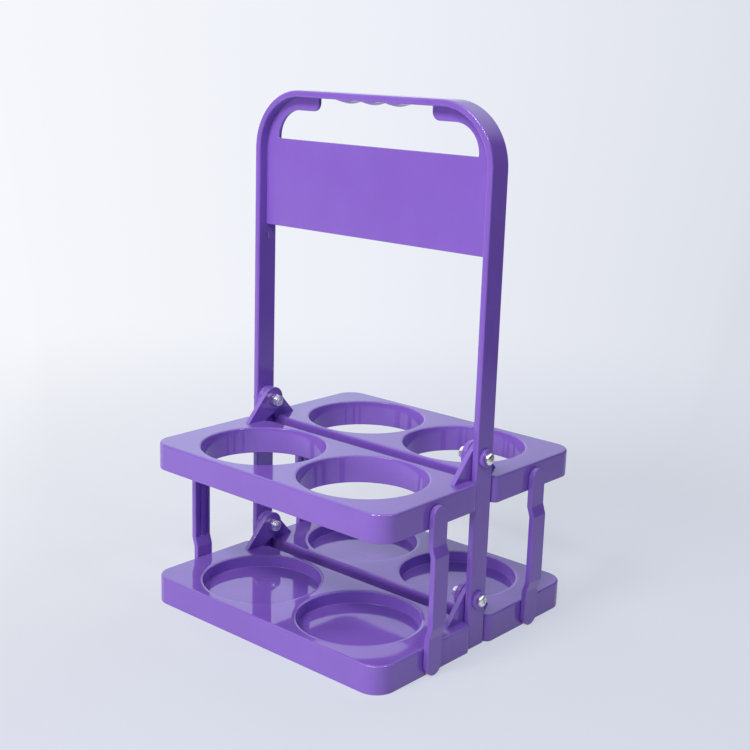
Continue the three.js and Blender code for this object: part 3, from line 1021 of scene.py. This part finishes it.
def pivot_screw():
    profile = [
        (SCREW_RADIUS - SCREW_TIP_CHAMFER, -SCREW_LENGTH),
        (SCREW_RADIUS, -SCREW_LENGTH + SCREW_TIP_CHAMFER),
        (SCREW_RADIUS, 0),
        (HEAD_RADIUS - HEAD_UNDERCUT, 0),
        (HEAD_RADIUS, HEAD_UNDERCUT),
    ]
    dome = HEAD_RADIUS - HEAD_FLAT_RADIUS
    for a in quarter_turn():
        rise = (HEAD_HEIGHT - HEAD_EDGE_HEIGHT) * math.sin(a)
        profile.append((HEAD_FLAT_RADIUS + dome * math.cos(a), HEAD_EDGE_HEIGHT + rise))
    width, length = CROSS_WIDTH / 2, CROSS_LENGTH / 2
    corners = [(width, -length), (width, -width), (length, -width)]
    for _ in range(3):
        corners += [(-v, u) for u, v in corners[-3:]]
    cross = [Vector(corner) for corner in corners]
    tool = plain_prism(cross, HEAD_HEIGHT - CROSS_DEPTH, HEAD_HEIGHT + CUT_MARGIN, CROSS_TAPER)
    tilted = tool.made("cross", Matrix.Rotation(CROSS_TURN, 4, "X") @ ALONG_X)
    return combined(turned("screw", profile), [tilted], "DIFFERENCE")


def lock_nut():
    corner = NUT_FLATS / math.sqrt(3)
    hexagon = []
    for k in range(NUT_SIDES):
        angle = math.radians(360 / NUT_SIDES * (k + 0.5))
        hexagon.append((corner * math.cos(angle), corner * math.sin(angle), NUT_CORNER))
    inner = SCREW_RADIUS + THREAD_CLEARANCE
    bore = round_hole(0, 0, inner, TURN_STEPS)
    nut = rounded_plate(rounded(hexagon), [bore], 0, NUT_HEX_HEIGHT, NUT_EDGE)
    outer = NUT_POCKET + NUT_COLLAR_WALL
    low = NUT_HEX_HEIGHT - NUT_EDGE
    profile = [(NUT_POCKET, NUT_HEIGHT - NUT_LIP), (NUT_POCKET, low), (outer, low)]
    for a in quarter_turn():
        radius = outer - NUT_LIP * (1 - math.cos(a))
        profile.append((radius, NUT_HEIGHT - NUT_LIP * (1 - math.sin(a))))
    profile += [(inner, NUT_HEIGHT), (inner, NUT_HEIGHT - NUT_LIP)]
    collar = turned("collar", profile, ring=True)
    return combined(nut.made("nut", ALONG_X), [collar], "UNION")


def nut_ring():
    low = NUT_HEX_HEIGHT + RING_CLEARANCE
    high = NUT_HEIGHT - NUT_LIP - RING_CLEARANCE
    inner = SCREW_RADIUS + RING_CLEARANCE
    profile = [(inner, high), (inner, low), (RING_OUTER, low), (RING_OUTER, high)]
    return turned("ring", profile, ring=True)


def hinge_nodes(kind):
    return [f"{level}_{side}_{kind}" for level in ("upper", "lower") for side in ("left", "right")]


def fasteners(steel, nylon, hinge_tree):
    screws = at_hinges(hinge_tree, pivot_screw(), "pivot_screws", SCREW_SEAT, steel)
    finished(smoothed(screws), steel, "frame", "plated_steel", *hinge_nodes("pivot_screw"))
    for make, name, finish, slot, kind in (
            (lock_nut, "lock_nuts", steel, "plated_steel", "lock_nut"),
            (nut_ring, "nut_rings", nylon, "white_nylon", "nut_insert")):
        facing_in = placed(make(), HALF_TURN)
        piece = at_hinges(hinge_tree, facing_in, name, NUT_SEAT, finish)
        finished(smoothed(piece), finish, "frame", slot, *hinge_nodes(kind))


# Finishes: shader groups for what changes over a surface, then the materials that use them

def smooth_share(tree, value, low, high, at_low=0, at_high=1):
    """How far the value has come from low to high, eased, from at_low to at_high."""
    return result_of(tree, "ShaderNodeMapRange", {
        "Value": value, "From Min": low, "From Max": high, "To Min": at_low, "To Max": at_high,
    }, interpolation_type="SMOOTHSTEP")


def between(tree, share, low, high):
    return result_of(tree, "ShaderNodeMapRange", {"Value": share, "To Min": low, "To Max": high})


def mixed_colour(tree, share, first, second):
    colours = {0: share, 6: first, 7: second}
    return add_node(tree, "ShaderNodeMix", colours, data_type="RGBA").outputs[2]


def noise(tree, place, scale, detail):
    return add_node(tree, "ShaderNodeTexNoise", {
        "Vector": place, "Scale": scale, "Detail": detail}).outputs


def new_effect(name, inputs, *outputs):
    """A shader group that works from the place on the piece."""
    inputs = {"Place": "Vector", **floats(*inputs)}
    group, given = new_tree("ShaderNodeTree", name, inputs, floats(*outputs))
    return group, given, given["Place"]


def slow_drift():
    """Soft patches in which tone and gloss wander, each by itself."""
    group, given, place = new_effect("slow_drift", ["Patches per Metre"], "Tone", "Gloss")
    patches = noise(group, place, given["Patches per Metre"], DRIFT_DETAIL)
    parts = add_node(group, "ShaderNodeSeparateColor", {0: patches["Color"]}).outputs
    return ended(group, {
        "Tone": smooth_share(group, parts[0], *DRIFT_RANGE),
        "Gloss": smooth_share(group, parts[1], *DRIFT_RANGE)})


def hairlines():
    """Thin rubbed lines that run two ways, in some places more than in others."""
    group, given, place = new_effect("hairlines", ["Lines per Metre"], "Mask")
    fine = vector_step(group, "SCALE", place, given["Lines per Metre"])
    layers = []
    for turn in LINE_TURNS:
        drawn = result_of(group, "ShaderNodeMapping", {
            "Vector": fine, "Rotation": turn, "Scale": (1, 1, LINE_STRETCH)})
        layers.append(smooth_share(group, noise(group, drawn, 1, LINE_DETAIL)[0], *LINE_RANGE))
    both = math_step(group, "MAXIMUM", *layers)
    rubbed = noise(group, place, RUBBED_PATCHES_PER_METRE, RUBBED_DETAIL)[0]
    rubbed = smooth_share(group, rubbed, *RUBBED_RANGE)
    return ended(group, {"Mask": math_step(group, "MULTIPLY", both, rubbed)})


def dust_specks():
    """Small round specks in a share of the cells of a random pattern."""
    group, given, place = new_effect("dust_specks", ["Cells per Metre", "Share", "Radius"], "Mask")
    cells = add_node(group, "ShaderNodeTexVoronoi", {
        "Vector": place, "Scale": given["Cells per Metre"]}).outputs
    lot = result_of(group, "ShaderNodeSeparateColor", {0: cells["Color"]})
    chosen = math_step(group, "LESS_THAN", lot, given["Share"])
    core = math_step(group, "MULTIPLY", given["Radius"], SPECK_CORE)
    speck = smooth_share(group, cells["Distance"], given["Radius"], core)
    return ended(group, {"Mask": math_step(group, "MULTIPLY", chosen, speck)})


def moulded_swell():
    """Height in millimetres of the slow swells and upright flow streaks that a mould leaves."""
    group, given, place = new_effect(
        "moulded_swell", ["Swells per Metre", "Swell Height", "Streak Height"], "Height")
    swell = noise(group, place, given["Swells per Metre"], SWELL_DETAIL)[0]
    drawn = result_of(group, "ShaderNodeMapping", {"Vector": place, "Scale": STREAKS_PER_METRE})
    streak = noise(group, drawn, 1, STREAK_DETAIL)[0]
    swell = math_step(group, "MULTIPLY", swell, given["Swell Height"])
    height = math_step(group, "MULTIPLY_ADD", streak, given["Streak Height"], swell)
    return ended(group, {"Height": height})


def turning_marks(tree, place):
    """Height in millimetres of fine rings round the axis of the nearest hinge."""
    parts = add_node(tree, "ShaderNodeSeparateXYZ", {0: place}).outputs
    half = RACK_SPACING * MM / 2
    above = math_step(tree, "SUBTRACT", parts[2], TRAY_HINGE * MM)
    above = math_step(tree, "WRAP", above, half, -half)
    radius = vector_step(tree, "LENGTH", from_parts(tree, Y=parts[1], Z=above))
    phase = math_step(tree, "MULTIPLY", radius, 2 * math.pi / (TURNING_PITCH * MM))
    return math_step(tree, "MULTIPLY", math_step(tree, "SINE", phase), TURNING_DEPTH)


def own_tree(holder, place):
    """The emptied node tree of a material or world, and the place that it works from."""
    holder.use_nodes = True
    holder.node_tree.nodes.clear()
    return holder.node_tree, holder.node_tree.nodes.new("ShaderNodeTexCoord").outputs[place]


def new_finish(name, look, groups):
    """A material in drifting tones, with moulded swells or turning marks and other marks on it."""
    finish = bpy.data.materials.new(name)
    tree, place = own_tree(finish, "Object")

    def effect(group, values):
        return add_node(tree, "ShaderNodeGroup", {
            "Place": place, **values}, node_tree=groups[group]).outputs

    drift = effect("slow_drift", look["drift"])
    colour = mixed_colour(tree, drift["Tone"], *look["tones"])
    rough = between(tree, drift["Gloss"], *look["roughness"])
    if "swell" in look:
        height = effect("moulded_swell", look["swell"])[0]
    else:
        height = turning_marks(tree, place)
    for mark in look["marks"]:
        mask = effect(mark["group"], mark["values"])[0]
        if "tint" in mark:
            share = math_step(tree, "MULTIPLY", mask, mark["share"])
            colour = mixed_colour(tree, share, colour, mark["tint"])
        if "roughness" in mark:
            rough = math_step(tree, "MULTIPLY_ADD", mask, mark["roughness"], rough)
        if "height" in mark:
            height = math_step(tree, "MULTIPLY_ADD", mask, mark["height"], height)
    bump = result_of(tree, "ShaderNodeBump", {"Height": height, "Strength": 1, "Distance": MM})
    shader = result_of(tree, "ShaderNodeBsdfPrincipled", {
        "Base Color": colour, "Roughness": rough, "Normal": bump, **look["shader"]})
    add_node(tree, "ShaderNodeOutputMaterial", {"Surface": shader})
    return finish


# Studio: a floor that fades into the surroundings, soft lamps and the camera

def backdrop_tone():
    """Studio tone by direction: bright behind and left, dark far to the right and in front."""
    tree, given = new_tree(
        "ShaderNodeTree", "backdrop_tone", {"Direction": "Vector"}, {"Tone": "Color"})
    way = given["Direction"]

    def along(axis):
        """How far the direction goes along an axis, from -1 to 1."""
        return vector_step(tree, "DOT_PRODUCT", way, axis)

    left = along((-math.cos(CAMERA_AZIMUTH), -math.sin(CAMERA_AZIMUTH), 0))
    away = along((-math.sin(CAMERA_AZIMUTH), math.cos(CAMERA_AZIMUTH), 0))
    back = along((0, 1, 0))
    up = along((0, 0, 1))
    sideways = result_of(tree, "ShaderNodeMapRange", {"Value": left, "From Min": -1})
    ramp = add_node(tree, "ShaderNodeValToRGB", {0: sideways})
    stops = ramp.color_ramp.elements
    stops[0].color = (*SIDE_TONES[0][1], 1)
    stops[1].color = (*SIDE_TONES[-1][1], 1)
    for place, colour in SIDE_TONES[1:-1]:
        stops.new(place).color = (*colour, 1)
    tone = ramp.outputs[0]
    for course, dimming in ((away, NEAR_DIMMING), (back, FRONT_DIMMING)):
        tone = vector_step(tree, "SCALE", tone, smooth_share(tree, course, *dimming))
    tint = mixed_colour(tree, smooth_share(tree, left, *GLOW_TO_SHADE), GLOW_TINT, SHADE_TINT)
    tint = mixed_colour(tree, smooth_share(tree, left, *RIGHT_TO_GLOW), RIGHT_TINT, tint)
    tint = mixed_colour(tree, smooth_share(tree, up, *HORIZON_TO_SKY), HORIZON_TINT, tint)
    tone = vector_step(tree, "MULTIPLY", tone, tint)
    tone = mixed_colour(tree, smooth_share(tree, up, *SKY_TO_CEILING), tone, CEILING_TONE)
    return ended(tree, {"Tone": tone})


def placed_tone(tree, tone, direction):
    """The studio tone towards a direction, kept pale wherever the camera itself looks."""
    mirrored = result_of(tree, "ShaderNodeGroup", {0: direction}, node_tree=tone)
    pale = vector_step(tree, "MAXIMUM", mirrored, PALE_TONE)
    pale = vector_step(tree, "MINIMUM", pale, WHITE_TONE)
    from_camera = tree.nodes.new("ShaderNodeLightPath").outputs["Is Camera Ray"]
    return mixed_colour(tree, from_camera, mirrored, pale)


def for_rays(tree, hidden, seen):
    """The seen shader for camera, mirrored and refracted rays, and the hidden one for others."""
    path = tree.nodes.new("ShaderNodeLightPath")
    share = path.outputs["Is Camera Ray"]
    for kind in ("Is Glossy Ray", "Is Transmission Ray"):
        share = math_step(tree, "MAXIMUM", share, path.outputs[kind])
    return result_of(tree, "ShaderNodeMixShader", {0: share, 1: hidden, 2: seen})


def surroundings(tone):
    world = bpy.data.worlds.new("studio")
    tree, direction = own_tree(world, "Generated")
    shown = result_of(tree, "ShaderNodeBackground", {
        "Color": placed_tone(tree, tone, direction), "Strength": 1})
    fill = result_of(tree, "ShaderNodeBackground", {
        "Color": FILL_TONE, "Strength": FILL_STRENGTH})
    add_node(tree, "ShaderNodeOutputWorld", {"Surface": for_rays(tree, fill, shown)})
    bpy.context.scene.world = world


def pale_floor(tone):
    """A shaded floor round the carrier that fades into the tone of the surroundings."""
    finish = bpy.data.materials.new("pale_floor")
    tree, place = own_tree(finish, "Object")
    reach = vector_step(tree, "LENGTH", place)
    softened = math_step(tree, "ADD", reach, FLOOR_SOFTENING)
    shrink = math_step(tree, "DIVIDE", 1, softened)
    colour = placed_tone(tree, tone, vector_step(tree, "SCALE", place, shrink))
    shaded = result_of(tree, "ShaderNodeBsdfDiffuse", {"Color": FLOOR_SHADED})
    glow = result_of(tree, "ShaderNodeEmission", {"Color": colour, "Strength": NEAR_GLOW})
    near = result_of(tree, "ShaderNodeAddShader", {0: shaded, 1: glow})
    far = result_of(tree, "ShaderNodeEmission", {"Color": colour, "Strength": FAR_GLOW})
    fade = smooth_share(tree, reach, *FLOOR_FADE)
    seen = result_of(tree, "ShaderNodeMixShader", {0: fade, 1: near, 2: far})
    matt = result_of(tree, "ShaderNodeBsdfDiffuse", {"Color": FLOOR_MATT})
    add_node(tree, "ShaderNodeOutputMaterial", {"Surface": for_rays(tree, matt, seen)})
    return finish


def floor(tone):
    bpy.ops.mesh.primitive_circle_add(
        vertices=FLOOR_STEPS, radius=FLOOR_RADIUS, fill_type="NGON")
    ground = bpy.context.object
    ground.name = "floor"
    ground.data.materials.append(pale_floor(tone))


def direction_at(azimuth, elevation):
    """The direction from the carrier. Azimuth 0 is to the front and a quarter turn to the right."""
    level = math.cos(elevation)
    return Vector((math.sin(azimuth) * level, -math.cos(azimuth) * level, math.sin(elevation)))


def soft_lamp(name, azimuth, elevation, distance, size, power, mirrored):
    """An area lamp that faces the carrier."""
    lamp = bpy.data.lights.new(name, "AREA")
    lamp.shape = "RECTANGLE"
    lamp.size, lamp.size_y = size
    lamp.energy = power
    lamp.color = LAMP_TINT
    holder = new_object(name, lamp)
    way = direction_at(math.radians(azimuth), math.radians(elevation))
    holder.location = Vector(LAMP_AIM) + way * distance
    holder.rotation_euler = way.to_track_quat("Z", "Y").to_euler()
    holder.visible_glossy = mirrored


def camera():
    """The photograph's view: a camera round the carrier, tipped by a small roll."""
    back = direction_at(CAMERA_AZIMUTH, CAMERA_ELEVATION)
    right = (-back).cross(Vector((0, 0, 1))).normalized()
    up = back.cross(right)
    turn = Matrix.Rotation(CAMERA_ROLL, 3, back)
    axes = Matrix((turn @ right, turn @ up, back)).transposed()
    data = bpy.data.cameras.new("camera")
    data.lens = CAMERA_LENS
    data.clip_end = CAMERA_RANGE
    holder = new_object("camera", data)
    place = (Vector(CAMERA_TARGET) + back * CAMERA_DISTANCE) * MM
    holder.matrix_world = Matrix.Translation(place) @ axes.to_4x4()
    bpy.context.scene.camera = holder


def main():
    bpy.context.scene.view_settings.view_transform = "Standard"
    camera()
    effects = (slow_drift, hairlines, dust_specks, moulded_swell)
    groups = {make.__name__: make() for make in effects}
    plate_plastic = new_finish("purple_plate_plastic", PURPLE_PLASTIC, groups)
    bar_plastic = new_finish("purple_bar_plastic", STREAKED_PLASTIC, groups)
    steel = new_finish("bright_plated_steel", PLATED_STEEL, groups)
    nylon = new_finish("white_nylon", WHITE_NYLON, groups)
    hinge_tree = hinge_set_tree()
    handle_frame(bar_plastic, hinge_tree)
    leaves(plate_plastic)
    link_bars(bar_plastic)
    fasteners(steel, nylon, hinge_tree)
    tone = backdrop_tone()
    surroundings(tone)
    floor(tone)
    for lamp in LAMPS:
        soft_lamp(*lamp)


main()
